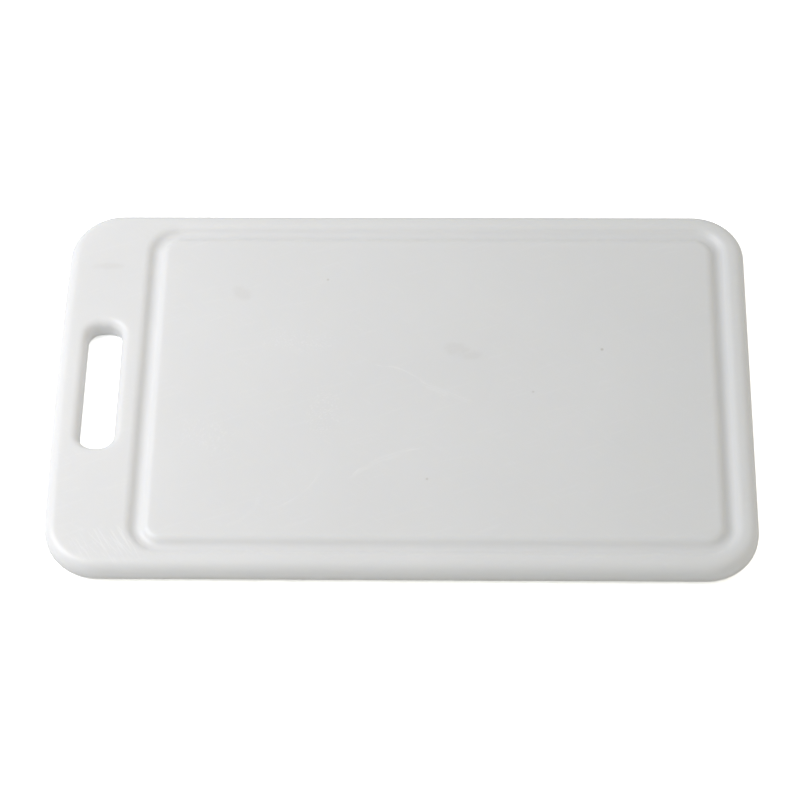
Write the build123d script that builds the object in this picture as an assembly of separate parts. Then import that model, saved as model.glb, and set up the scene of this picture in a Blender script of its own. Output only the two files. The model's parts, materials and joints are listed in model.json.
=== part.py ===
from build123d import *

import os

# A one-piece moulded cutting board with a juice groove and a hand slot. Millimetres, +Z up.
# The origin is on the underside, at the middle of the bounding box. The hand slot is at -X.

# Slab
LENGTH = 400.0
WIDTH = 250.0
THICKNESS = 15.0
CORNER_RADIUS = 30.0
TOP_EDGE_RADIUS = 6.5
BOTTOM_EDGE_RADIUS = 5.5
HANDLE_END_BOW = 2.0  # how far the middle of the handle end stands out past its corners

# Juice groove: a round-bottomed channel with softened lips, all the way round the work area
GROOVE_WIDTH = 15.0
GROOVE_DEPTH = 3.4
GROOVE_BOTTOM_RADIUS = 4.5
GROOVE_INSET = 15.5  # from three of the slab's edges to the middle of the groove
GROOVE_HANDLE_INSET = 53.0  # from the handle end to the middle of the groove

# Hand slot
SLOT_LENGTH = 86.0
SLOT_WIDTH = 20.0
SLOT_CORNER_RADIUS = 8.5
SLOT_EDGE_RADIUS = 5.0
SLOT_INSET = 26.0  # from the handle end to the middle of the slot

CUT_CLEARANCE = 1.0  # how far the slot's cutter runs past each face


def slab_outline():
    """The plan of the slab: three straight sides, a slightly bowed handle end, four round corners."""
    end_x = -LENGTH / 2
    corner_x = end_x + HANDLE_END_BOW
    right_x = LENGTH / 2
    half_width = WIDTH / 2
    sides = Polyline((corner_x, -half_width), (right_x, -half_width), (right_x, half_width), (corner_x, half_width))
    handle_end = ThreePointArc((corner_x, half_width), (end_x, 0), (corner_x, -half_width))
    plan = make_face(sides + handle_end)
    return fillet(plan.vertices(), CORNER_RADIUS)


def groove_cutter():
    """A round bar bent along the middle of the groove, so that only its underside meets the slab."""
    left_x = -LENGTH / 2 + GROOVE_HANDLE_INSET
    right_x = LENGTH / 2 - GROOVE_INSET
    bar_z = THICKNESS - GROOVE_DEPTH + GROOVE_BOTTOM_RADIUS
    route_plane = Plane.XY.offset(bar_z) * Pos((left_x + right_x) / 2, 0)
    route_face = route_plane * RectangleRounded(
        right_x - left_x, WIDTH - 2 * GROOVE_INSET, CORNER_RADIUS - GROOVE_INSET
    )
    route = route_face.face().outer_wire()
    section = Plane(origin=route @ 0, z_dir=route % 0) * Circle(GROOVE_BOTTOM_RADIUS)
    return sweep(section, path=route)


def groove_lip_radius():
    """The radius of the arc that joins the groove's round bottom to the flat top at the groove's full width."""
    half_width = GROOVE_WIDTH / 2
    both_radii = (half_width**2 + GROOVE_DEPTH**2) / (2 * GROOVE_DEPTH)
    return both_radii - GROOVE_BOTTOM_RADIUS


def slot_cutter():
    """The upright prism of the hand slot."""
    plan = Pos(-LENGTH / 2 + SLOT_INSET, 0) * RectangleRounded(SLOT_WIDTH, SLOT_LENGTH, SLOT_CORNER_RADIUS)
    depth = THICKNESS + 2 * CUT_CLEARANCE
    return Pos(0, 0, -CUT_CLEARANCE) * extrude(plan, amount=depth)


def level_faces(body, height):
    """The flat faces of the body at one height, smallest first."""
    flat = body.faces().filter_by(GeomType.PLANE).filter_by_position(Axis.Z, height, height)
    return flat.sort_by(SortBy.AREA)


def board():
    """The whole board: slab, groove, rounded edges and hand slot."""
    body = extrude(slab_outline(), amount=THICKNESS) - groove_cutter()

    rim, work_area = level_faces(body, THICKNESS)
    lips = rim.inner_wires()[0].edges() + work_area.outer_wire().edges()
    body = fillet(lips, groove_lip_radius())

    rim = level_faces(body, THICKNESS)[0]
    body = fillet(rim.outer_wire().edges(), TOP_EDGE_RADIUS)
    underside = level_faces(body, 0)[0]
    body = fillet(underside.outer_wire().edges(), BOTTOM_EDGE_RADIUS)

    body = body - slot_cutter()
    slot_mouths = ShapeList()
    for face in level_faces(body, 0) + level_faces(body, THICKNESS):
        for wire in face.inner_wires():
            if wire.bounding_box().size.X < 2 * SLOT_WIDTH:
                slot_mouths += wire.edges()
    return fillet(slot_mouths, SLOT_EDGE_RADIUS)


os.makedirs("parts", exist_ok=True)
export_step(board(), "parts/board.step")
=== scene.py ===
"""A one-piece white polyethylene cutting board with a juice groove and a hand slot, on a pale studio floor.

Lengths are in metres. X runs along the board away from the hand slot, Y across it and Z up. The board is
one skin: plan loops round the board, stacked along its edge and groove profiles, with a flat fill inside the
groove, a flat fill underneath, and a ring of cells round the slot.
"""

import json
import logging
import math
from dataclasses import dataclass
from dataclasses import field
from enum import Enum

import bpy
import numpy as np
from mathutils import Matrix
from mathutils import Vector


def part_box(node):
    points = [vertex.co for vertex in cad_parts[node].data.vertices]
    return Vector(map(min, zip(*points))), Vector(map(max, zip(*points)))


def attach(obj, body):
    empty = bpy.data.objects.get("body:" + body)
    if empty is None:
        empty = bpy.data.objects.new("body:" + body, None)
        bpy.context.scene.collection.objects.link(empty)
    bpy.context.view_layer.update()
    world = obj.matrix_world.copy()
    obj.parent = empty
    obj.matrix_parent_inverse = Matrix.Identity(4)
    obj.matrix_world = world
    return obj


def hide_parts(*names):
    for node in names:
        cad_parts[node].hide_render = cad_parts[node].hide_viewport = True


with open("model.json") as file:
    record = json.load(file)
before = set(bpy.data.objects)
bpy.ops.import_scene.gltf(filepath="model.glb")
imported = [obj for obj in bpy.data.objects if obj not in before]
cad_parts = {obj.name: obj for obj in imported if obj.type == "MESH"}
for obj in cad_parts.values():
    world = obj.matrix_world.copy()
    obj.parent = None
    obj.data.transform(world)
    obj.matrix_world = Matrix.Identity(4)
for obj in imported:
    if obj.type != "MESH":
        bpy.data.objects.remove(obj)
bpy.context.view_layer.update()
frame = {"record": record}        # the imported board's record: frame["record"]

MM = 0.001
LOG = logging.getLogger("cutting_board")

# ---------------------------------------------------------------------------------------------------------
# Plan loops and profiles
# ---------------------------------------------------------------------------------------------------------


@dataclass(frozen=True)
class Stations:
    """How many cells a closed loop has: along X, along Y, and round each corner (an even number)."""

    along_x: int
    along_y: int
    corner: int

    def side_cells(self) -> tuple[int, int]:
        """Cells from one corner's middle to the next, along X and along Y."""
        return self.along_x + self.corner, self.along_y + self.corner


@dataclass(frozen=True)
class PlanLoop:
    """A rectangle with round corners, seen from above. Its low-X side may bow outward."""

    x_low: float
    x_high: float
    y_low: float
    y_high: float
    corner_radius: float
    bow: float = 0.0

    def inset(self, distance: float) -> "PlanLoop":
        """The loop that runs a constant distance inside this one, or outside it for a negative distance.

        Args:
            distance: how far inside, in metres.

        Returns:
            The new loop, with corners on the same centres.
        """
        return PlanLoop(
            self.x_low + distance,
            self.x_high - distance,
            self.y_low + distance,
            self.y_high - distance,
            self.corner_radius - distance,
            self.bow,
        )

    def corner_centre(self, corner: int) -> np.ndarray:
        """The centre of one corner's arc; corners count anticlockwise from low X, low Y."""
        x = self.x_low + self.corner_radius if corner % 4 in (0, 3) else self.x_high - self.corner_radius
        y = self.y_low + self.corner_radius if corner % 4 in (0, 1) else self.y_high - self.corner_radius
        return np.array([x, y])

    def side(self, number: int, stations: Stations) -> np.ndarray:
        """One side, anticlockwise, from the middle of its first corner's arc to the middle of its last one's.

        A point on an arc is the arc's centre plus its radius times the unit vector at the point's angle, and
        the points between the arcs are evenly spaced on a line.

        Args:
            number: 0 is the low-Y side, 1 high X, 2 high Y and 3 low X.
            stations: how many cells the sides and corners have.

        Returns:
            An array of points (cells + 1, 2).
        """
        half_corner = stations.corner // 2
        straight = stations.along_x if number % 2 == 0 else stations.along_y
        turn = math.radians(90.0 * number)
        first_angles = turn + np.radians(np.linspace(-135.0, -90.0, half_corner + 1))
        last_angles = turn + np.radians(np.linspace(-90.0, -45.0, half_corner + 1))
        first = self.corner_centre(number) + self.corner_radius * unit_vectors(first_angles)
        last = self.corner_centre(number + 1) + self.corner_radius * unit_vectors(last_angles)
        share = np.linspace(0.0, 1.0, straight + 1)[1:-1, None]
        line = first[-1] * (1.0 - share) + last[0] * share
        return self.bowed(np.vstack([first, line, last]))

    def bowed(self, points: np.ndarray) -> np.ndarray:
        """Moves the low-X side outward by the bow times one minus the square of y over the half width."""
        half_width = (self.y_high - self.y_low) / 2
        middle = (self.y_high + self.y_low) / 2
        near_end = points[:, 0] < self.x_low + self.corner_radius
        shift = self.bow * (1.0 - ((points[:, 1] - middle) / half_width) ** 2) * near_end
        return points - np.column_stack([shift, np.zeros_like(shift)])

    def points(self, stations: Stations) -> np.ndarray:
        """All four sides as one closed run of points, the last the same as the first.

        Args:
            stations: how many cells the sides and corners have.

        Returns:
            An array of points (cells all the way round + 1, 2).
        """
        sides = [self.side(number, stations)[:-1] for number in range(4)]
        run = np.vstack(sides)
        return np.vstack([run, run[:1]])


def unit_vectors(angles: np.ndarray) -> np.ndarray:
    """The unit vector in plan at each angle, in radians."""
    return np.column_stack([np.cos(angles), np.sin(angles)])


def at_height(plan: np.ndarray, height: float) -> np.ndarray:
    """Plan points (..., 2) lifted to one height, as (..., 3)."""
    return np.concatenate([plan, np.full(plan.shape[:-1] + (1,), height)], axis=-1)


def between(first: np.ndarray, last: np.ndarray, shares: np.ndarray) -> np.ndarray:
    """Rows that go from one run of points to another: first plus share times (last minus first).

    Args:
        first: the run at share 0, (points, n).
        last: the run at share 1, (points, n).
        shares: the share of each row.

    Returns:
        An array (rows, points, n).
    """
    return first[None] + shares[:, None, None] * (last - first)[None]


def gathered(cells: int) -> np.ndarray:
    """Shares from 0 to 1 that crowd towards both ends: (1 - cos(pi t)) / 2 for t evenly spaced."""
    return (1.0 - np.cos(np.pi * np.linspace(0.0, 1.0, cells + 1))) / 2


def fill(loop: PlanLoop, stations: Stations) -> np.ndarray:
    """Fills a loop with a grid whose edge is the loop itself, by transfinite interpolation.

    Each point is the blend of the two points facing it on the low-Y and high-Y sides, plus the blend of those
    on the low-X and high-X sides, less the blend of the four corners.

    Args:
        loop: the loop to fill.
        stations: how many cells its sides and corners have.

    Returns:
        An array (cells along Y + 1, cells along X + 1, 2).
    """
    low_y = loop.side(0, stations)
    high_x = loop.side(1, stations)
    high_y = loop.side(2, stations)[::-1]
    low_x = loop.side(3, stations)[::-1]
    u = np.linspace(0.0, 1.0, len(low_y))[None, :, None]
    v = np.linspace(0.0, 1.0, len(low_x))[:, None, None]
    across = (1 - v) * low_y[None] + v * high_y[None]
    along = (1 - u) * low_x[:, None] + u * high_x[:, None]
    low_corners = (1 - u) * low_y[0] + u * low_y[-1]
    high_corners = (1 - u) * high_y[0] + u * high_y[-1]
    return across + along - ((1 - v) * low_corners + v * high_corners)


@dataclass
class Skin:
    """A closed skin put together from grids of points that share their edges."""

    grids: list[np.ndarray] = field(default_factory=list)
    weld_distance: float = 0.00001 * MM

    def add(self, grid: np.ndarray) -> None:
        """Adds a grid (rows, columns, 3) whose columns crossed with its rows point outward."""
        self.grids.append(grid)

    def welded(self) -> tuple[np.ndarray, np.ndarray]:
        """Joins the grids where their points meet.

        A cell joins the points (r, c), (r, c+1), (r+1, c+1) and (r+1, c). Points that agree to the weld
        distance become one.

        Returns:
            The points (n, 3) and the cells (m, 4).
        """
        points = np.vstack([grid.reshape(-1, 3) for grid in self.grids])
        cells = []
        first = 0
        for grid in self.grids:
            rows, columns = grid.shape[:2]
            index = first + np.arange(rows * columns).reshape(rows, columns)
            corners = (index[:-1, :-1], index[:-1, 1:], index[1:, 1:], index[1:, :-1])
            cells.append(np.stack(corners, axis=-1).reshape(-1, 4))
            first += rows * columns
        keys = np.round(points / self.weld_distance).astype(np.int64)
        _, kept, merged = np.unique(keys, axis=0, return_index=True, return_inverse=True)
        return points[kept], merged.reshape(-1)[np.vstack(cells)]


# ---------------------------------------------------------------------------------------------------------
# The board's shapes
# ---------------------------------------------------------------------------------------------------------


@dataclass(frozen=True)
class JuiceGroove:
    """A round-bottomed channel with softened lips, level with the top at its full width."""

    width: float = 15.0 * MM
    depth: float = 3.4 * MM
    bottom_radius: float = 4.5 * MM
    inset: float = 15.5 * MM
    handle_inset: float = 53.0 * MM
    lip_cells: int = 7
    bottom_cells: int = 10

    def profile(self) -> tuple[np.ndarray, np.ndarray]:
        """The section from the outer lip to the inner one, as three arcs that run smoothly into each other.

        With h half the width and d the depth, the arcs meet at the slope angle a = 2 atan(d / h), and the
        lip's radius is h / sin(a) less the bottom's. A lip's point is h - r sin(t) out and r (1 - cos(t))
        down; the bottom's is r sin(t) out and d - r (1 - cos(t)) down.

        Returns:
            The distance outward from the groove's middle, and the depth below the top, of each point.
        """
        half_width = self.width / 2
        slope = 2.0 * math.atan2(self.depth, half_width)
        lip_radius = half_width / math.sin(slope) - self.bottom_radius
        lip_angle = np.linspace(0.0, slope, self.lip_cells + 1)[:-1]
        bottom_angle = np.linspace(slope, -slope, self.bottom_cells + 1)
        lip_out = half_width - lip_radius * np.sin(lip_angle)
        lip_down = lip_radius * (1.0 - np.cos(lip_angle))
        bottom_out = self.bottom_radius * np.sin(bottom_angle)
        bottom_down = self.depth - self.bottom_radius * (1.0 - np.cos(bottom_angle))
        out = np.concatenate([lip_out, bottom_out, -lip_out[::-1]])
        down = np.concatenate([lip_down, bottom_down, lip_down[::-1]])
        return out, down


@dataclass(frozen=True)
class RoundedEdge:
    """The board's outer edge: a small bottom round, a short upright land and a larger top round."""

    top_radius: float = 6.5 * MM
    bottom_radius: float = 5.5 * MM
    round_cells: int = 12
    land_cells: int = 1

    def profile(self, thickness: float) -> tuple[np.ndarray, np.ndarray]:
        """The section from the underside, outward, up and in to the top.

        The bottom round is r (1 - sin(t)) in and r (1 - cos(t)) up; the top round is r (1 - cos(t)) in and
        r (1 - sin(t)) below the top; t goes from 0 to a quarter turn on both.

        Args:
            thickness: the board's thickness, in metres.

        Returns:
            How far in from the widest outline, and how high, each point is.
        """
        angle = np.linspace(0.0, math.pi / 2, self.round_cells + 1)
        bottom_in = self.bottom_radius * (1.0 - np.sin(angle))
        bottom_up = self.bottom_radius * (1.0 - np.cos(angle))
        top_in = self.top_radius * (1.0 - np.cos(angle))
        top_up = thickness - self.top_radius * (1.0 - np.sin(angle))
        land = np.linspace(bottom_up[-1], top_up[0], self.land_cells + 1)[1:-1]
        inward = np.concatenate([bottom_in, np.zeros_like(land), top_in])
        height = np.concatenate([bottom_up, land, top_up])
        return inward, height


@dataclass(frozen=True)
class HandSlot:
    """The slot through the handle end, with the same round on its upper and lower mouths."""

    middle_x: float
    length: float = 86.0 * MM
    width: float = 20.0 * MM
    corner_radius: float = 8.5 * MM
    edge_radius: float = 5.0 * MM
    corner_cells: int = 12
    round_cells: int = 12

    def wall(self) -> PlanLoop:
        """The slot's outline at its narrowest, halfway through the board."""
        low_x, high_x = self.middle_x - self.width / 2, self.middle_x + self.width / 2
        return PlanLoop(low_x, high_x, -self.length / 2, self.length / 2, self.corner_radius)

    def mouth(self) -> PlanLoop:
        """The slot's outline where its rounded mouth meets the flat face."""
        return self.wall().inset(-self.edge_radius)

    def profile(self, thickness: float) -> tuple[np.ndarray, np.ndarray]:
        """The section down through the slot: r (1 - sin(t)) out of the wall, r (1 - cos(t)) in from the face.

        Args:
            thickness: the board's thickness, in metres.

        Returns:
            How far outside the wall, and how high, each point is, from the upper mouth to the lower.
        """
        angle = np.linspace(0.0, math.pi / 2, self.round_cells + 1)
        outside = self.edge_radius * (1.0 - np.sin(angle))
        below = self.edge_radius * (1.0 - np.cos(angle))
        height = np.concatenate([thickness - below, below[::-1]])
        return np.concatenate([outside, outside[::-1]]), height


@dataclass(frozen=True)
class SheetWave:
    """The slight unevenness of a moulded sheet: two long crossing waves, in radians per metre on X and Y."""

    depth: float = 0.05 * MM
    first_turn: tuple[float, float] = (31.0, 23.0)
    second_turn: tuple[float, float] = (19.0, -47.0)
    first_start: float = 0.6
    second_start: float = 2.1

    def sink(self, x: np.ndarray, y: np.ndarray) -> np.ndarray:
        """How far each point of the top lies below the flat: the depth times a share that goes from 0 to 1.

        The share is a half, plus a quarter of sin(ax + by + c) for each of the two waves.

        Args:
            x: the points' places along X.
            y: their places along Y.

        Returns:
            The distances, in metres.
        """
        first = np.sin(self.first_turn[0] * x + self.first_turn[1] * y + self.first_start)
        second = np.sin(self.second_turn[0] * x + self.second_turn[1] * y + self.second_start)
        return self.depth * (0.5 + 0.25 * (first + second))


@dataclass
class CuttingBoard:
    """The board: its size comes from the frame's box and its slot's place from the frame's record."""

    low: Vector
    high: Vector
    slot: HandSlot
    corner_radius: float = 30.0 * MM
    handle_end_bow: float = 2.0 * MM
    edge: RoundedEdge = field(default_factory=RoundedEdge)
    groove: JuiceGroove = field(default_factory=JuiceGroove)
    stations: Stations = field(default_factory=lambda: Stations(along_x=150, along_y=90, corner=16))
    rim_cells: int = 14
    slot_side_cells: int = 56
    slot_ring_cells: int = 5
    seam_widths: tuple[float, ...] = (0.4 * MM, 1.2 * MM)
    wave: SheetWave = field(default_factory=SheetWave)

    @property
    def thickness(self) -> float:
        """The board's thickness."""
        return self.high.z - self.low.z

    def outline(self) -> PlanLoop:
        """The widest outline of the board."""
        return PlanLoop(
            self.low.x + self.handle_end_bow,
            self.high.x,
            self.low.y,
            self.high.y,
            self.corner_radius,
            self.handle_end_bow,
        )

    def groove_line(self) -> PlanLoop:
        """The line along the middle of the groove."""
        return PlanLoop(
            self.low.x + self.groove.handle_inset,
            self.high.x - self.groove.inset,
            self.low.y + self.groove.inset,
            self.high.y - self.groove.inset,
            self.corner_radius - self.groove.inset,
        )

    def stacked(self, loops: list[PlanLoop], heights: np.ndarray) -> np.ndarray:
        """Rows of points round the board, one row to each loop and height.

        Args:
            loops: the plan loop of each row.
            heights: the height of each row.

        Returns:
            An array (rows, stations + 1, 3).
        """
        rows = [at_height(loop.points(self.stations), height) for loop, height in zip(loops, heights)]
        return np.stack(rows)

    def rim(self, height: float) -> list[np.ndarray]:
        """The flat ring from the rounded edge in to the groove's outer lip, with the slot's mouth left open.

        The ring's rows go from the edge inward. On the low-X side a block of its cells gives way to rings
        that go from the block's border to the slot's mouth.

        Args:
            height: the height of the face, which is the top or the underside.

        Returns:
            Grids of points, facing up.
        """
        at_top = height > self.thickness / 2
        outer = self.outline().inset(self.edge.top_radius if at_top else self.edge.bottom_radius)
        inner = self.groove_line().inset(-self.groove.width / 2)
        ring = between(outer.points(self.stations), inner.points(self.stations), gathered(self.rim_cells))
        along_x, along_y = self.stations.side_cells()
        middle = 2 * along_x + along_y + along_y // 2
        first = middle - self.slot_side_cells // 2
        last = middle + self.slot_side_cells // 2
        block_sides = [
            ring[:-1, last],
            ring[-1, first + 1 : last + 1][::-1],
            ring[1:, first][::-1],
            ring[0, first : last + 1],
        ]
        border = np.vstack(block_sides)
        mouth = self.slot.mouth().points(self.slot_stations())
        round_slot = between(border, mouth, gathered(self.slot_ring_cells))
        return [at_height(part, height) for part in (ring[:, : first + 1], ring[:, last:], round_slot)]

    def slot_stations(self) -> Stations:
        """The slot's cells, as many on each side as the block of the rim that it opens in."""
        corner = self.slot.corner_cells
        return Stations(along_x=self.rim_cells - corner, along_y=self.slot_side_cells - corner, corner=corner)

    def slot_wall(self) -> np.ndarray:
        """The inside of the slot, from its upper mouth to its lower one."""
        outside, heights = self.slot.profile(self.thickness)
        rows = [self.slot.wall().inset(-out).points(self.slot_stations()) for out in outside]
        return np.stack([at_height(row, height) for row, height in zip(rows, heights)])

    def flat_middle(self, loop: PlanLoop, height: float) -> list[np.ndarray]:
        """A flat face inside a loop: narrow rows along the loop, then one grid.

        Args:
            loop: the face's edge.
            height: the face's height.

        Returns:
            Grids of points, facing up.
        """
        insets = (0.0,) + self.seam_widths
        rows = self.stacked([loop.inset(width) for width in insets], np.full(len(insets), height))
        return [rows, at_height(fill(loop.inset(insets[-1]), self.stations), height)]

    def skin(self) -> Skin:
        """All the board's faces: underside, outer edge, rim, slot, groove and work area."""
        skin = Skin()
        top, bottom = self.thickness, 0.0
        inward, heights = self.edge.profile(self.thickness)
        skin.add(self.stacked([self.outline().inset(distance) for distance in inward], heights))
        out, down = self.groove.profile()
        lips = [self.groove_line().inset(-distance) for distance in out]
        skin.add(self.stacked(lips, top - down))
        skin.add(self.slot_wall())
        for grid in self.rim(top) + self.flat_middle(lips[-1], top):
            skin.add(grid)
        for grid in self.rim(bottom) + self.flat_middle(lips[0], bottom):
            skin.add(grid[:, ::-1])
        return skin

    def waved(self, points: np.ndarray) -> np.ndarray:
        """Lowers points by the sheet's wave times z / thickness: in full at the top, not at all underneath.

        Args:
            points: the skin's points (n, 3).

        Returns:
            The moved points.
        """
        x, y, z = points.T
        return np.column_stack([x, y, z - self.wave.sink(x, y) * z / self.thickness])

    def make(self, finish: "WhitePolyethylene") -> bpy.types.Object:
        """Builds the board's mesh, gives it its finish and puts it in place of the plain node.

        Args:
            finish: the plastic that it is made of.

        Returns:
            The board's object.
        """
        points, cells = self.skin().welded()
        points = self.waved(points) + np.array([0.0, 0.0, self.low.z])
        mesh = bpy.data.meshes.new("board_skin")
        mesh.from_pydata(points.tolist(), [], cells.tolist())
        mesh.validate()
        mesh.polygons.foreach_set("use_smooth", np.ones(len(mesh.polygons), dtype=bool))
        mesh.materials.append(finish.material())
        piece = bpy.data.objects.new("board_skin", mesh)
        bpy.context.scene.collection.objects.link(piece)
        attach(piece, "root")
        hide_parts("board")
        LOG.info("%s: %d points, %d cells", piece.name, len(mesh.vertices), len(mesh.polygons))
        return piece


# ---------------------------------------------------------------------------------------------------------
# Shader groups and the plastic
# ---------------------------------------------------------------------------------------------------------

Socket = bpy.types.NodeSocket


class NodeBench:
    """Adds and joins nodes in one tree."""

    def __init__(self, tree: bpy.types.NodeTree) -> None:
        """Works on the given tree."""
        self.tree = tree

    def add(self, kind: str, settings: dict | None = None, inputs: dict | None = None) -> bpy.types.Node:
        """Adds a node.

        Args:
            kind: the node's type, such as "ShaderNodeMath".
            settings: its own options.
            inputs: values or sockets for its inputs, by name or number.

        Returns:
            The node.
        """
        node = self.tree.nodes.new(kind)
        for name, value in (settings or {}).items():
            setattr(node, name, value)
        for name, value in (inputs or {}).items():
            self.feed(node.inputs[name], value)
        return node

    def feed(self, socket: Socket, value: object) -> None:
        """Links a socket to another, or gives it a plain value."""
        if isinstance(value, Socket):
            self.tree.links.new(value, socket)
        else:
            socket.default_value = value

    def math(self, operation: str, *values: object) -> Socket:
        """One step of arithmetic on numbers."""
        node = self.add("ShaderNodeMath", {"operation": operation}, dict(enumerate(values)))
        return node.outputs[0]

    def vector(self, operation: str, *values: object) -> Socket:
        """One step of arithmetic on vectors; a length or a dot product comes out as a number."""
        node = self.add("ShaderNodeVectorMath", {"operation": operation}, dict(enumerate(values)))
        return node.outputs["Value" if operation in ("LENGTH", "DOT_PRODUCT", "DISTANCE") else "Vector"]

    def fade(self, value: Socket, start: object, end: object, low: float = 0.0, high: float = 1.0) -> Socket:
        """A smooth step from low at start to high at end."""
        settings = {"interpolation_type": "SMOOTHSTEP"}
        inputs = {"Value": value, "From Min": start, "From Max": end, "To Min": low, "To Max": high}
        return self.add("ShaderNodeMapRange", settings, inputs).outputs["Result"]

    def noise(self, place: Socket, scale: float, detail: float = 2.0, roughness: float = 0.5) -> Socket:
        """Fractal noise at a place, from 0 to 1."""
        inputs = {"Vector": place, "Scale": scale, "Detail": detail, "Roughness": roughness}
        return self.add("ShaderNodeTexNoise", {"noise_dimensions": "3D"}, inputs).outputs["Fac"]

    def group(self, group: bpy.types.NodeTree, inputs: dict) -> bpy.types.Node:
        """Places a shader group and gives it its values."""
        node = self.tree.nodes.new("ShaderNodeGroup")
        node.node_tree = group
        for name, value in inputs.items():
            self.feed(node.inputs[name], value)
        return node

    def blend(self, share: Socket, first: object, last: object) -> Socket:
        """Mixes two colours by a share from 0 to 1."""
        node = self.add("ShaderNodeMix", {"data_type": "RGBA"}, {"Factor": share})
        first_socket, last_socket = (socket for socket in node.inputs if socket.type == "RGBA")
        self.feed(first_socket, first)
        self.feed(last_socket, last)
        return next(socket for socket in node.outputs if socket.type == "RGBA")

    def product(self, first: object, *others: object) -> Socket:
        """Several numbers multiplied."""
        result = first
        for other in others:
            result = self.math("MULTIPLY", result, other)
        return result

    def scaled(self, colour: object, factor: object) -> Socket:
        """A colour or vector times a number."""
        node = self.add("ShaderNodeVectorMath", {"operation": "SCALE"}, {0: colour, "Scale": factor})
        return node.outputs["Vector"]

    def for_camera(self, lighting: Socket, seen: Socket) -> Socket:
        """One shader for what the camera sees directly, and another for everything else."""
        path = self.add("ShaderNodeLightPath")
        inputs = {0: path.outputs["Is Camera Ray"], 1: lighting, 2: seen}
        return self.add("ShaderNodeMixShader", None, inputs).outputs[0]

    def total(self, values: list[Socket]) -> Socket:
        """The sum of several numbers, held to at most 1."""
        result = values[0]
        for value in values[1:]:
            result = self.math("ADD", result, value)
        return self.math("MINIMUM", result, 1.0)


class SocketKind(Enum):
    """The kinds of socket that the groups here use."""

    NUMBER = "NodeSocketFloat"
    VECTOR = "NodeSocketVector"


def new_group(
    name: str, inputs: dict[str, SocketKind], outputs: list[str]
) -> tuple[bpy.types.NodeTree, NodeBench]:
    """Makes an empty shader group with named sockets.

    Args:
        name: the group's name.
        inputs: the kind of each input.
        outputs: the names of its outputs, all numbers.

    Returns:
        The group and a bench to build it on.
    """
    group = bpy.data.node_groups.new(name, "ShaderNodeTree")
    for socket, kind in inputs.items():
        group.interface.new_socket(name=socket, in_out="INPUT", socket_type=kind.value)
    for socket in outputs:
        group.interface.new_socket(name=socket, in_out="OUTPUT", socket_type=SocketKind.NUMBER.value)
    return group, NodeBench(group)


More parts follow.
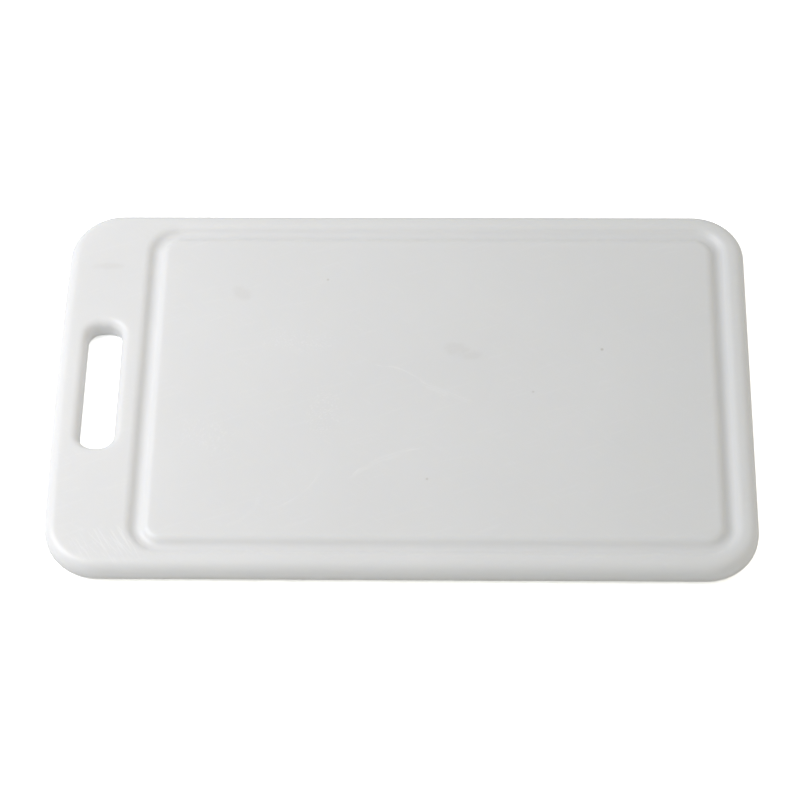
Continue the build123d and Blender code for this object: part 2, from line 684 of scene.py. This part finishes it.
class WearGroups:
    """The marks of use on plastic, and the moulded plastic itself, each a shader group built once."""

    ARC_WOBBLE = 3.0 * MM  # how far the unevenness bends a stroke
    ARC_CORE = 0.2  # the share of the half width at full strength
    ARC_FULL = 0.55  # the share of the way in from a stroke's end, by cosine, to its full strength
    STREAKS_ALONG = 14.0
    STREAK_CUT = (0.42, 0.66)
    HATCH_SOFTNESS = 0.06
    PATCH_CORE = 0.35
    UNEVENNESS_SCALE = 140.0

    def __init__(self) -> None:
        """Builds the groups."""
        self.blade_arc = self.build_blade_arc()
        self.cut_hatch = self.build_cut_hatch()
        self.patch = self.build_patch()
        self.moulding = self.build_moulding()

    @classmethod
    def build_blade_arc(cls) -> bpy.types.NodeTree:
        """A blade's curved stroke: strands side by side along an arc, fading out at both ends.

        The mask is a band about the arc's radius, times a fade by the angle from the arc's middle, times
        streaks that run along the arc: noise read at (distance x Strands, cosine x streaks along, 0).
        """
        inputs = {
            "Place": SocketKind.VECTOR,
            "Unevenness": SocketKind.NUMBER,
            "Centre": SocketKind.VECTOR,
            "Middle": SocketKind.VECTOR,
            "Radius": SocketKind.NUMBER,
            "Half Width": SocketKind.NUMBER,
            "End Cosine": SocketKind.NUMBER,
            "Strands": SocketKind.NUMBER,
        }
        group, bench = new_group("blade_arc", inputs, ["Mask"])
        given = bench.add("NodeGroupInput").outputs
        wobble = bench.math("MULTIPLY", given["Unevenness"], cls.ARC_WOBBLE)
        from_centre = bench.vector("SUBTRACT", given["Place"], given["Centre"])
        flat = bench.vector("MULTIPLY", from_centre, (1.0, 1.0, 0.0))
        distance = bench.math("ADD", bench.vector("LENGTH", flat), wobble)
        off_line = bench.math("ABSOLUTE", bench.math("SUBTRACT", distance, given["Radius"]))
        band = bench.fade(bench.math("DIVIDE", off_line, given["Half Width"]), cls.ARC_CORE, 1.0, 1.0, 0.0)
        cosine = bench.vector("DOT_PRODUCT", bench.vector("NORMALIZE", flat), given["Middle"])
        full_cosine = bench.math("MULTIPLY_ADD", given["End Cosine"], 1.0 - cls.ARC_FULL, cls.ARC_FULL)
        along = bench.fade(cosine, given["End Cosine"], full_cosine)
        stretched = {
            "X": bench.math("MULTIPLY", distance, given["Strands"]),
            "Y": bench.math("MULTIPLY", cosine, cls.STREAKS_ALONG),
        }
        streak_place = bench.add("ShaderNodeCombineXYZ", None, stretched)
        streaks = bench.fade(bench.noise(streak_place.outputs[0], 1.0, 2.0, 0.6), *cls.STREAK_CUT)
        bench.add("NodeGroupOutput", None, {"Mask": bench.product(band, along, streaks)})
        return group

    @classmethod
    def build_cut_hatch(cls) -> bpy.types.NodeTree:
        """Many short straight cuts that run one way: noise stretched along them, kept where it is high."""
        inputs = {
            "Place": SocketKind.VECTOR,
            "Along": SocketKind.VECTOR,
            "Cuts Per Metre": SocketKind.NUMBER,
            "Length": SocketKind.NUMBER,
            "Rarity": SocketKind.NUMBER,
            "Seed": SocketKind.NUMBER,
        }
        group, bench = new_group("cut_hatch", inputs, ["Mask"])
        given = bench.add("NodeGroupInput").outputs
        sideways = bench.vector("CROSS_PRODUCT", given["Along"], (0.0, 0.0, 1.0))
        across = bench.vector("DOT_PRODUCT", given["Place"], sideways)
        down = bench.vector("DOT_PRODUCT", given["Place"], given["Along"])
        stretched = {
            "X": bench.math("MULTIPLY", across, given["Cuts Per Metre"]),
            "Y": bench.math("DIVIDE", down, given["Length"]),
            "Z": given["Seed"],
        }
        place = bench.add("ShaderNodeCombineXYZ", None, stretched)
        cuts = bench.noise(place.outputs[0], 1.0, 0.0)
        edge = bench.math("ADD", given["Rarity"], cls.HATCH_SOFTNESS)
        bench.add("NodeGroupOutput", None, {"Mask": bench.fade(cuts, given["Rarity"], edge)})
        return group

    @classmethod
    def build_patch(cls) -> bpy.types.NodeTree:
        """A soft-edged oval place on the board: 1 in its middle, fading to 0 at its ragged border."""
        inputs = {
            "Place": SocketKind.VECTOR,
            "Unevenness": SocketKind.NUMBER,
            "Centre": SocketKind.VECTOR,
            "Half Size": SocketKind.VECTOR,
            "Ragged": SocketKind.NUMBER,
        }
        group, bench = new_group("patch", inputs, ["Mask"])
        given = bench.add("NodeGroupInput").outputs
        from_centre = bench.vector("SUBTRACT", given["Place"], given["Centre"])
        flat = bench.vector("MULTIPLY", from_centre, (1.0, 1.0, 0.0))
        reach = bench.vector("LENGTH", bench.vector("DIVIDE", flat, given["Half Size"]))
        ragged = bench.math("MULTIPLY", given["Unevenness"], given["Ragged"])
        mask = bench.fade(bench.math("ADD", reach, ragged), cls.PATCH_CORE, 1.0, 1.0, 0.0)
        bench.add("NodeGroupOutput", None, {"Mask": mask})
        return group

    @classmethod
    def build_moulding(cls) -> bpy.types.NodeTree:
        """The moulded plastic: fine pebbled grain, broad tone and middling unevenness, all about zero."""
        inputs = {
            "Place": SocketKind.VECTOR,
            "Grain Scale": SocketKind.NUMBER,
            "Tone Scale": SocketKind.NUMBER,
        }
        group, bench = new_group("moulding", inputs, ["Grain", "Tone", "Unevenness"])
        given = bench.add("NodeGroupInput").outputs
        waves = {
            "Grain": bench.noise(given["Place"], given["Grain Scale"], 3.0, 0.55),
            "Tone": bench.noise(given["Place"], given["Tone Scale"], 2.0, 0.5),
            "Unevenness": bench.noise(given["Place"], cls.UNEVENNESS_SCALE, 2.0, 0.55),
        }
        outputs = {name: bench.math("SUBTRACT", wave, 0.5) for name, wave in waves.items()}
        bench.add("NodeGroupOutput", None, outputs)
        return group


@dataclass(frozen=True)
class Marking:
    """What every mark needs from the material: its bench, the groups, the place and the shared unevenness."""

    bench: NodeBench
    groups: WearGroups
    place: Socket
    unevenness: Socket

    def group_mask(self, group: bpy.types.NodeTree, inputs: dict, strength: object) -> Socket:
        """Places a mark's group, and scales its mask by a strength."""
        node = self.bench.group(group, {"Place": self.place} | inputs)
        return self.bench.math("MULTIPLY", node.outputs["Mask"], strength)


@dataclass(frozen=True)
class Stroke:
    """One curved blade stroke on the top: its middle, the way it bows out, its bend, length and width."""

    middle: tuple[float, float]
    bow_degrees: float
    bend_radius: float
    length: float
    half_width: float = 1.2 * MM
    strands_per_metre: float = 900.0
    strength: float = 1.0

    def mask(self, on: Marking) -> Socket:
        """The stroke's mask."""
        bow = Vector((1.0, 0.0, 0.0))
        bow.rotate(Matrix.Rotation(math.radians(self.bow_degrees), 3, "Z"))
        inputs = {
            "Unevenness": on.unevenness,
            "Centre": Vector((*self.middle, 0.0)) - self.bend_radius * bow,
            "Middle": bow,
            "Radius": self.bend_radius,
            "Half Width": self.half_width,
            "End Cosine": math.cos(self.length / 2 / self.bend_radius),
            "Strands": self.strands_per_metre,
        }
        return on.group_mask(on.groups.blade_arc, inputs, self.strength)


@dataclass(frozen=True)
class Spot:
    """A soft-edged oval place on the top: its centre, half sizes and how ragged its border is."""

    centre: tuple[float, float]
    half_size: tuple[float, float]
    strength: float = 1.0
    ragged: float = 1.2

    def mask(self, on: Marking) -> Socket:
        """The spot's mask."""
        inputs = {
            "Unevenness": on.unevenness,
            "Centre": (*self.centre, 0.0),
            "Half Size": (*self.half_size, 1.0),
            "Ragged": self.ragged,
        }
        return on.group_mask(on.groups.patch, inputs, self.strength)


@dataclass(frozen=True)
class Cuts:
    """Short straight cuts that run one way, over a spot or over the whole top."""

    direction_degrees: float
    cuts_per_metre: float
    length: float
    rarity: float
    seed: float
    strength: float = 1.0
    over: Spot | None = None

    def mask(self, on: Marking) -> Socket:
        """The cuts' mask."""
        angle = math.radians(self.direction_degrees)
        inputs = {
            "Along": (math.cos(angle), math.sin(angle), 0.0),
            "Cuts Per Metre": self.cuts_per_metre,
            "Length": self.length,
            "Rarity": self.rarity,
            "Seed": self.seed,
        }
        mask = on.group_mask(on.groups.cut_hatch, inputs, self.strength)
        return mask if self.over is None else on.bench.math("MULTIPLY", mask, self.over.mask(on))


HANDLE_CORNER = Spot((-160.0 * MM, -110.0 * MM), (27.0 * MM, 16.0 * MM), ragged=0.8)
RUB_LEFT_OF_MIDDLE = Spot((-60.0 * MM, 30.0 * MM), (30.0 * MM, 9.0 * MM))
RUB_NEAR_MIDDLE = Spot((-45.0 * MM, -20.0 * MM), (13.0 * MM, 23.0 * MM))
RUB_BY_GROOVE = Spot((-110.0 * MM, -35.0 * MM), (22.0 * MM, 18.0 * MM))

SCORED = (
    Stroke((0.0 * MM, 10.0 * MM), 65.0, 35.0 * MM, 40.0 * MM, strength=0.75),
    Stroke((25.0 * MM, -5.0 * MM), 65.0, 200.0 * MM, 35.0 * MM, 2.0 * MM, strength=0.85),
    Stroke((20.0 * MM, -5.0 * MM), 65.0, 200.0 * MM, 15.0 * MM, 2.5 * MM, 1500.0, strength=0.9),
    Stroke((-10.0 * MM, -50.0 * MM), 115.0, 60.0 * MM, 55.0 * MM, 1.5 * MM, strength=0.8),
    Stroke((-15.0 * MM, -55.0 * MM), 120.0, 65.0 * MM, 40.0 * MM, strength=0.7),
    Stroke((-55.0 * MM, -75.0 * MM), -45.0, 50.0 * MM, 45.0 * MM, strength=0.6),
    Stroke((-85.0 * MM, -90.0 * MM), -45.0, 20.0 * MM, 45.0 * MM, 1.5 * MM, strength=0.35),
    # Partly a nick and partly a painted highlight: a paler arc along the groove's inner corner lip.
    Stroke((-140.0 * MM, -100.0 * MM), 210.0, 10.0 * MM, 10.0 * MM, 0.7 * MM, 300.0, strength=1.0),
    Cuts(-60.0, 900.0, 20.0 * MM, 0.60, 3.1, 0.75, HANDLE_CORNER),
    Cuts(-48.0, 1100.0, 9.0 * MM, 0.63, 5.7, 0.6, HANDLE_CORNER),
    Cuts(-35.0, 1300.0, 1.6 * MM, 0.62, 8.2, 0.6, RUB_LEFT_OF_MIDDLE),
    Cuts(25.0, 1300.0, 1.6 * MM, 0.60, 1.9, 0.6, RUB_NEAR_MIDDLE),
    Cuts(70.0, 1300.0, 1.8 * MM, 0.63, 4.4, 0.45, RUB_BY_GROOVE),
    Cuts(20.0, 700.0, 24.0 * MM, 0.70, 12.3, 0.16),
    Cuts(-38.0, 800.0, 18.0 * MM, 0.70, 17.9, 0.14),
)
STAINED = (
    Stroke((40.0 * MM, 70.0 * MM), 170.0, 350.0 * MM, 80.0 * MM, 1.2 * MM, 500.0, strength=0.12),
    Spot((-175.0 * MM, 85.0 * MM), (11.0 * MM, 3.5 * MM), 0.20),
    Spot((-95.0 * MM, 65.0 * MM), (7.0 * MM, 7.0 * MM), 0.22),
    Spot((30.0 * MM, 25.0 * MM), (10.0 * MM, 6.0 * MM), 0.20),
    Spot((40.0 * MM, 20.0 * MM), (9.0 * MM, 5.0 * MM), 0.20),
    Spot((115.0 * MM, 25.0 * MM), (1.3 * MM, 1.3 * MM), 1.0, 0.3),
    Spot((-45.0 * MM, 75.0 * MM), (1.1 * MM, 1.1 * MM), 0.7, 0.3),
    Spot((75.0 * MM, -5.0 * MM), (1.0 * MM, 1.0 * MM), 0.6, 0.3),
    Spot((15.0 * MM, -65.0 * MM), (1.1 * MM, 1.1 * MM), 0.8, 0.3),
)


@dataclass(frozen=True)
class WhitePolyethylene:
    """Satin white polyethylene: a little light passes through it, use has scored and marked it, and painted
    shade darkens its lowest edge.
    """

    low: Vector
    high: Vector
    plastic: tuple[float, float, float] = (0.88, 0.88, 0.88)
    scored_plastic: tuple[float, float, float] = (0.98, 0.98, 0.98)
    stain: tuple[float, float, float] = (0.72, 0.705, 0.68)
    # Painted shade: the grey that darkens the outer edge low down, near the floor.
    shade_grey: tuple[float, float, float] = (0.60, 0.57, 0.53)
    scored_share: float = 0.6
    shade_share: float = 0.6
    roughness: float = 0.42
    scored_roughness: float = 0.22
    see_in: float = 0.6
    scatter_length: float = 5.0 * MM
    grain_height: float = 0.006 * MM
    score_depth: float = 0.04 * MM
    # Where the painted shade sits on the outer edge, and the flat underside that it leaves unshaded.
    shade_top: float = 9.0 * MM
    shade_bottom: float = 2.0 * MM
    shade_reach: float = 9.0 * MM
    shade_softness: float = 2.0 * MM
    shade_unevenness: float = 1.2
    unshaded_underside: tuple[float, float] = (0.1 * MM, 0.6 * MM)
    marked_top: tuple[float, float] = (1.0 * MM, 0.2 * MM)
    grain_scale: float = 1400.0
    tone_scale: float = 14.0
    tone_in_colour: float = 0.04
    tone_in_roughness: float = 0.10
    refraction: float = 1.54
    scatter_colour: tuple[float, float, float] = (1.0, 0.95, 0.85)

    def low_edge_shade(self, bench: NodeBench, place: Socket, unevenness: Socket) -> Socket:
        """Painted shade: a grey that darkens the outer edge low down, towards the floor.

        The mask fades in from the painted shade's top to its bottom, leaves the flat underside unshaded, and
        reaches in from the board's box: the larger of |x| less half the length and |y| less half the width
        tells how far in a point is. The shared unevenness breaks it up.

        Args:
            bench: the material's bench.
            place: the point on the board.
            unevenness: the shared unevenness.

        Returns:
            The mask.
        """
        parts = bench.add("ShaderNodeSeparateXYZ", None, {0: place}).outputs
        past_x = bench.math("SUBTRACT", bench.math("ABSOLUTE", parts["X"]), (self.high.x - self.low.x) / 2)
        past_y = bench.math("SUBTRACT", bench.math("ABSOLUTE", parts["Y"]), (self.high.y - self.low.y) / 2)
        outermost = bench.math("MAXIMUM", past_x, past_y)
        low_down = bench.fade(parts["Z"], self.low.z + self.shade_top, self.low.z + self.shade_bottom)
        off_underside = bench.fade(parts["Z"], *(self.low.z + height for height in self.unshaded_underside))
        outside = bench.fade(outermost, -self.shade_reach - self.shade_softness, -self.shade_reach)
        broken = bench.math("MULTIPLY_ADD", unevenness, self.shade_unevenness, 1.0)
        return bench.product(low_down, off_underside, outside, broken)

    def material(self) -> bpy.types.Material:
        """Builds the plastic's material.

        Colour goes from the plain plastic to the paler scored one by the scoring mask, then towards the stain
        by the stain mask and towards a painted shade grey by the low-edge shade mask, times one plus a few
        hundredths of the broad tone. Roughness rises where the plastic is scored. Height is the grain less
        the scoring's depth.

        Returns:
            The material.
        """
        material = bpy.data.materials.new("white_polyethylene")
        material.use_nodes = True
        material.node_tree.nodes.clear()
        bench = NodeBench(material.node_tree)
        groups = WearGroups()
        place = bench.add("ShaderNodeTexCoord").outputs["Object"]
        height = bench.add("ShaderNodeSeparateXYZ", None, {0: place}).outputs["Z"]
        on_top = bench.fade(height, *(self.high.z - depth for depth in self.marked_top))
        scales = {"Grain Scale": self.grain_scale, "Tone Scale": self.tone_scale}
        moulding = bench.group(groups.moulding, {"Place": place} | scales).outputs
        on = Marking(bench, groups, place, moulding["Unevenness"])
        scored = bench.math("MULTIPLY", bench.total([mark.mask(on) for mark in SCORED]), on_top)
        stained = bench.math("MULTIPLY", bench.total([mark.mask(on) for mark in STAINED]), on_top)

        worn_share = bench.math("MULTIPLY", scored, self.scored_share)
        worn = bench.blend(worn_share, (*self.plastic, 1.0), (*self.scored_plastic, 1.0))
        stained_colour = bench.blend(stained, worn, (*self.stain, 1.0))
        # Painted shade low on the outer edge, blended over the stained colour.
        shade_mask = bench.math("MULTIPLY", self.low_edge_shade(bench, place, moulding["Unevenness"]), self.shade_share)
        marked_and_shaded = bench.blend(shade_mask, stained_colour, (*self.shade_grey, 1.0))
        brightness = bench.math("MULTIPLY_ADD", moulding["Tone"], self.tone_in_colour, 1.0)
        tone_roughness = bench.math("MULTIPLY_ADD", moulding["Tone"], self.tone_in_roughness, self.roughness)
        roughness = bench.math("MULTIPLY_ADD", scored, self.scored_roughness, tone_roughness)
        grain = bench.math("MULTIPLY", moulding["Grain"], self.grain_height)
        relief = bench.math("MULTIPLY_ADD", scored, -self.score_depth, grain)
        normal = bench.add("ShaderNodeBump", None, {"Strength": 1.0, "Distance": 1.0, "Height": relief})
        shader = bench.add(
            "ShaderNodeBsdfPrincipled",
            {"subsurface_method": "RANDOM_WALK"},
            {
                "Base Color": bench.scaled(marked_and_shaded, brightness),
                "Roughness": roughness,
                "Normal": normal.outputs["Normal"],
                "IOR": self.refraction,
                "Subsurface Weight": self.see_in,
                "Subsurface Radius": self.scatter_colour,
                "Subsurface Scale": self.scatter_length,
            },
        )
        bench.add("ShaderNodeOutputMaterial", None, {"Surface": shader.outputs["BSDF"]})
        return material


# ---------------------------------------------------------------------------------------------------------
# The studio
# ---------------------------------------------------------------------------------------------------------


@dataclass(frozen=True)
class Softbox:
    """A square area light that the camera doesn't see."""

    name: str
    position: tuple[float, float, float]
    side: float
    power: float
    colour: tuple[float, float, float] = (1.0, 1.0, 1.0)

    def place(self, aim: Vector) -> None:
        """Hangs the light at its position, facing the aim."""
        light = bpy.data.lights.new(self.name, "AREA")
        light.shape = "SQUARE"
        light.size = self.side
        light.energy = self.power
        light.color = self.colour
        lamp = bpy.data.objects.new(self.name, light)
        bpy.context.scene.collection.objects.link(lamp)
        lamp.location = self.position
        lamp.rotation_euler = (aim - Vector(self.position)).to_track_quat("-Z", "Y").to_euler()
        lamp.visible_camera = False


@dataclass(frozen=True)
class Studio:
    """A wide pale floor, a soft even dome with a warm card to its right, and a softbox up to the left."""

    floor_radius: float = 40.0
    floor_gap: float = 0.3 * MM
    floor_sides: int = 96
    floor_colour: float = 0.88
    floor_exposure: float = 3.0
    dome: tuple[float, float, float] = (0.317, 0.341, 0.335)
    right_card: tuple[float, float, float] = (0.468, 0.400, 0.348)
    key: Softbox = Softbox("key_softbox", (-0.8, 0.0, 0.8), 0.6, 7.55, (1.0, 0.982, 1.012))

    def build(self, ground: float) -> None:
        """Makes the floor, the dome and the softbox."""
        self.lay_floor(ground)
        self.light_dome()
        self.key.place(Vector((0.0, 0.0, ground)))

    def lay_floor(self, ground: float) -> None:
        """Makes the floor: one round face, a hair below the board."""
        angles = np.linspace(0.0, 2.0 * np.pi, self.floor_sides, endpoint=False)
        rim = at_height(self.floor_radius * unit_vectors(angles), ground - self.floor_gap)
        mesh = bpy.data.meshes.new("studio_floor")
        mesh.from_pydata(rim.tolist(), [], [list(range(self.floor_sides))])
        mesh.materials.append(self.floor_material())
        floor = bpy.data.objects.new("studio_floor", mesh)
        bpy.context.scene.collection.objects.link(floor)

    def floor_material(self) -> bpy.types.Material:
        """White paper: a plain pale diffuser, which the camera sees exposed until it is white."""
        material = bpy.data.materials.new("pale_floor")
        material.use_nodes = True
        material.node_tree.nodes.clear()
        bench = NodeBench(material.node_tree)
        paper = bench.add("ShaderNodeBsdfDiffuse", None, {"Color": (*[self.floor_colour] * 3, 1.0)})
        seen = bench.add("ShaderNodeBsdfDiffuse", None, {"Color": (*[self.floor_exposure] * 3, 1.0)})
        surface = bench.for_camera(paper.outputs[0], seen.outputs[0])
        bench.add("ShaderNodeOutputMaterial", None, {"Surface": surface})
        return material

    def light_dome(self) -> None:
        """Lights the scene softly from all round, while the camera sees plain white.

        The colour from a direction (x, y, z) is the dome's, plus the right card's times x where x is above 0.
        """
        world = bpy.data.worlds.new("studio_dome")
        world.use_nodes = True
        world.node_tree.nodes.clear()
        bpy.context.scene.world = world
        bench = NodeBench(world.node_tree)
        direction = bench.add("ShaderNodeTexCoord").outputs["Generated"]
        share = bench.math("MAXIMUM", bench.vector("DOT_PRODUCT", direction, (1.0, 0.0, 0.0)), 0.0)
        colour = bench.vector("ADD", self.dome, bench.scaled(self.right_card, share))
        light = bench.add("ShaderNodeBackground", None, {"Color": colour, "Strength": 1.0})
        seen = bench.add("ShaderNodeBackground", None, {"Color": (1.0, 1.0, 1.0, 1.0), "Strength": 1.0})
        surface = bench.for_camera(light.outputs[0], seen.outputs[0])
        bench.add("ShaderNodeOutputWorld", None, {"Surface": surface})


@dataclass(frozen=True)
class Viewpoint:
    """Where the camera stands: looking down at the board from in front, a little to the right."""

    azimuth_degrees: float = 2.60
    elevation_degrees: float = 55.1
    roll_degrees: float = -1.93
    distance: float = 1.7715
    aim: tuple[float, float] = (-1.58 * MM, -0.65 * MM)
    lens: float = 137.97
    sensor_width: float = 36.0
    sight: float = 200.0

    def build(self, ground: float) -> bpy.types.Object:
        """Makes the camera.

        Its back axis is the direction from the aim at the two angles, its right axis is level, and both right
        and up are then turned about the back axis by the roll.

        Args:
            ground: the height of the aim, in metres.

        Returns:
            The camera.
        """
        azimuth, elevation = math.radians(self.azimuth_degrees), math.radians(self.elevation_degrees)
        level_reach, rise = math.cos(elevation), math.sin(elevation)
        back = Vector((math.sin(azimuth) * level_reach, -math.cos(azimuth) * level_reach, rise))
        right = Vector((0.0, 0.0, 1.0)).cross(back).normalized()
        level = Matrix((right, back.cross(right), back)).transposed()
        turned = Matrix.Rotation(math.radians(self.roll_degrees), 3, back) @ level
        data = bpy.data.cameras.new("camera")
        data.lens = self.lens
        data.sensor_width = self.sensor_width
        data.clip_end = self.sight
        camera = bpy.data.objects.new("camera", data)
        bpy.context.scene.collection.objects.link(camera)
        place = Vector((*self.aim, ground)) + back * self.distance
        camera.matrix_world = Matrix.Translation(place) @ turned.to_4x4()
        bpy.context.scene.camera = camera
        return camera


def main() -> None:
    """Builds the camera, the studio and the board."""
    logging.basicConfig(level=logging.INFO, format="%(name)s: %(message)s")
    low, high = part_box("board")
    mounts = {mount["name"]: mount for mount in frame["record"]["mounts"]}
    Viewpoint().build(low.z)
    Studio().build(low.z)
    board = CuttingBoard(low, high, HandSlot(middle_x=mounts["hand_slot"]["pos_m"][0]))
    board.make(WhitePolyethylene(low, high))
    bpy.context.scene.view_settings.view_transform = "Standard"


if __name__ == "__main__":
    main()
